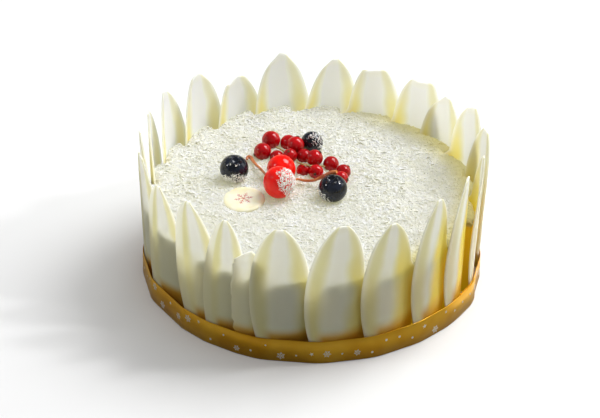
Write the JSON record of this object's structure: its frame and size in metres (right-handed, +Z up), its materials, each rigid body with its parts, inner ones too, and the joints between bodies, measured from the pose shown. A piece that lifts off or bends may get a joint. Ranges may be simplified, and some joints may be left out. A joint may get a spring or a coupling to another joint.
{
  "type": "ring cake",
  "caption": "Round white cake under chocolate shavings, ringed by tall white chocolate petals with a gold paper band, topped with berries, cherries and a white disc.",
  "frame": {"origin": "centre of the flat underside of the cake, on the surface that it stands on", "axes": "+Z up through the middle of the cake, -Y towards the front, +X to the right"},
  "size_m": [0.2079, 0.2022, 0.0965],
  "materials": {
    "cream": "soft white chocolate shavings over cream",
    "petal_chocolate": "satin ivory white chocolate that lets light through",
    "gold_paper": "satin metallic gold paper with small white motifs",
    "blueberry": "glossy near-black navy skin with a faint bloom",
    "cherry": "glossy glazed red skin",
    "red_currant": "clear deep red glossy skin",
    "cherry_stem": "glazed orange-brown stem",
    "stalk": "thin olive-brown stalk",
    "disc_chocolate": "smooth ivory white chocolate"
  },
  "bodies": {
    "root": {"cake_body": "cream", "petal_01": "petal_chocolate", "petal_02": "petal_chocolate", "petal_03": "petal_chocolate", "petal_04": "petal_chocolate", "petal_05": "petal_chocolate", "petal_06": "petal_chocolate", "petal_07": "petal_chocolate", "petal_08": "petal_chocolate", "petal_09": "petal_chocolate", "petal_10": "petal_chocolate", "petal_11": "petal_chocolate", "petal_12": "petal_chocolate", "petal_13": "petal_chocolate", "petal_14": "petal_chocolate", "petal_15": "petal_chocolate", "petal_16": "petal_chocolate", "petal_17": "petal_chocolate", "petal_18": "petal_chocolate", "petal_19": "petal_chocolate", "petal_20": "petal_chocolate", "petal_21": "petal_chocolate", "petal_22": "petal_chocolate", "petal_23": "petal_chocolate", "gold_band": "gold_paper", "blueberry_1": "blueberry", "blueberry_2": "blueberry", "blueberry_3": "blueberry", "cherry_front": "cherry", "cherry_back": "cherry", "red_currant_01": "red_currant", "red_currant_02": "red_currant", "red_currant_03": "red_currant", "red_currant_04": "red_currant", "red_currant_05": "red_currant", "red_currant_06": "red_currant", "red_currant_07": "red_currant", "red_currant_08": "red_currant", "red_currant_09": "red_currant", "red_currant_10": "red_currant", "red_currant_11": "red_currant", "red_currant_12": "red_currant", "red_currant_13": "red_currant", "white_chocolate_disc": "disc_chocolate", "cherry_stem_front": "cherry_stem", "cherry_stem_back": "cherry_stem", "currant_stalk": "stalk"}
  },
  "joints": []
}
